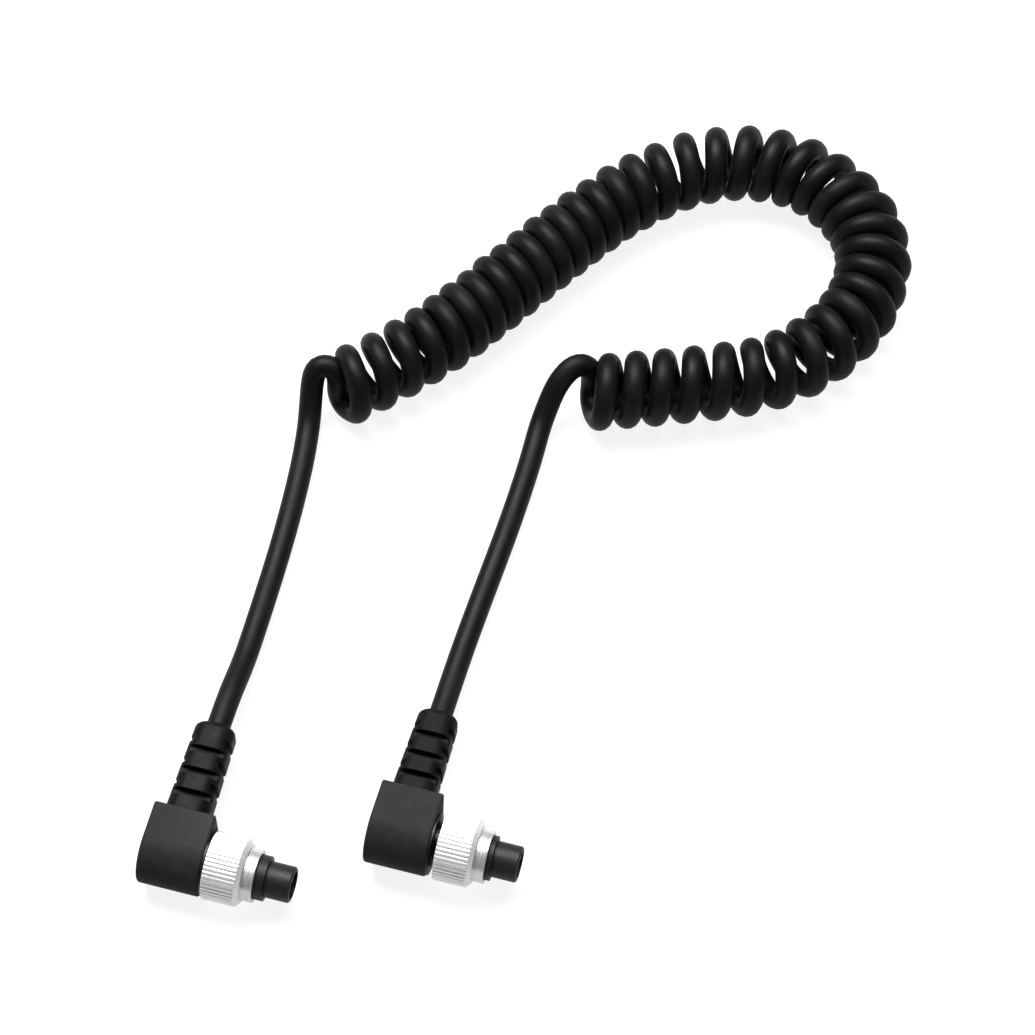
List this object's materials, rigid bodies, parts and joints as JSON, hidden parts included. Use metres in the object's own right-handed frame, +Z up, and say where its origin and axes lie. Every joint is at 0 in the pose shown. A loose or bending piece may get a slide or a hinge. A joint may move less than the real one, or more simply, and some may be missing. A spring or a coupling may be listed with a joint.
{
  "type": "coiled camera cord",
  "caption": "Coiled black camera cord with a right-angle plug on each end; each plug has a slotted boot, a knurled coupling ring that slides and turns, and a round black nose.",
  "frame": {"origin": "on the table, under the middle of the box around both plugs", "axes": "+X is the way both plugs point, +Y the way the cord leaves them, +Z up from the table"},
  "size_m": [0.1035, 0.177, 0.0145],
  "materials": {
    "elbow_plastic": "fine-grained moulded black plastic",
    "boot_rubber": "satin moulded black rubber",
    "plated_barrel": "satin black plating",
    "washer_plastic": "plain black nylon",
    "ring_alloy": "satin, straight knurled and bright at the edges",
    "clip_steel": "spring steel",
    "insert_plastic": "half-gloss moulded black plastic",
    "contact_gold": "gold plated",
    "wire_sleeves": "thin coloured wire sleeves",
    "cord_jacket": "semi-matte black vinyl jacket",
    "ferrule_brass": "crimped brass"
  },
  "bodies": {
    "root": {"elbow_housing_a": "elbow_plastic", "strain_relief_a": "boot_rubber", "barrel_a": "plated_barrel", "thrust_washer_a": "washer_plastic", "insulator_a": "insert_plastic", "contact_pins_a": "contact_gold", "wires_a": "wire_sleeves", "jacket_end_a": "cord_jacket", "crimp_ferrule_a": "ferrule_brass", "elbow_housing_b": "elbow_plastic", "strain_relief_b": "boot_rubber", "barrel_b": "plated_barrel", "thrust_washer_b": "washer_plastic", "insulator_b": "insert_plastic", "contact_pins_b": "contact_gold", "wires_b": "wire_sleeves", "jacket_end_b": "cord_jacket", "crimp_ferrule_b": "ferrule_brass", "cord_tail_a": "cord_jacket", "cord_coil": "cord_jacket", "cord_tail_b": "cord_jacket"},
    "collar_a": {"retaining_ring_a": "clip_steel"},
    "ring_a": {"coupling_ring_a": "ring_alloy"},
    "collar_b": {"retaining_ring_b": "clip_steel"},
    "ring_b": {"coupling_ring_b": "ring_alloy"}
  },
  "joints": [
    {"name": "ring_a_slide", "type": "slide", "parent": "root", "child": "collar_a", "axis": [1, 0, 0], "range_m": [0, 0.001]},
    {"name": "ring_a_turn", "type": "hinge", "parent": "collar_a", "child": "ring_a", "pos_m": [-0.0166, -0.01607, 0.00595], "axis": [1, 0, 0], "continuous": true},
    {"name": "ring_b_slide", "type": "slide", "parent": "root", "child": "collar_b", "axis": [1, 0, 0], "range_m": [-0.0008, 0.0002]},
    {"name": "ring_b_turn", "type": "hinge", "parent": "collar_b", "child": "ring_b", "pos_m": [0.0196, -0.00278, 0.00657], "axis": [1, 0, 0], "continuous": true}
  ]
}
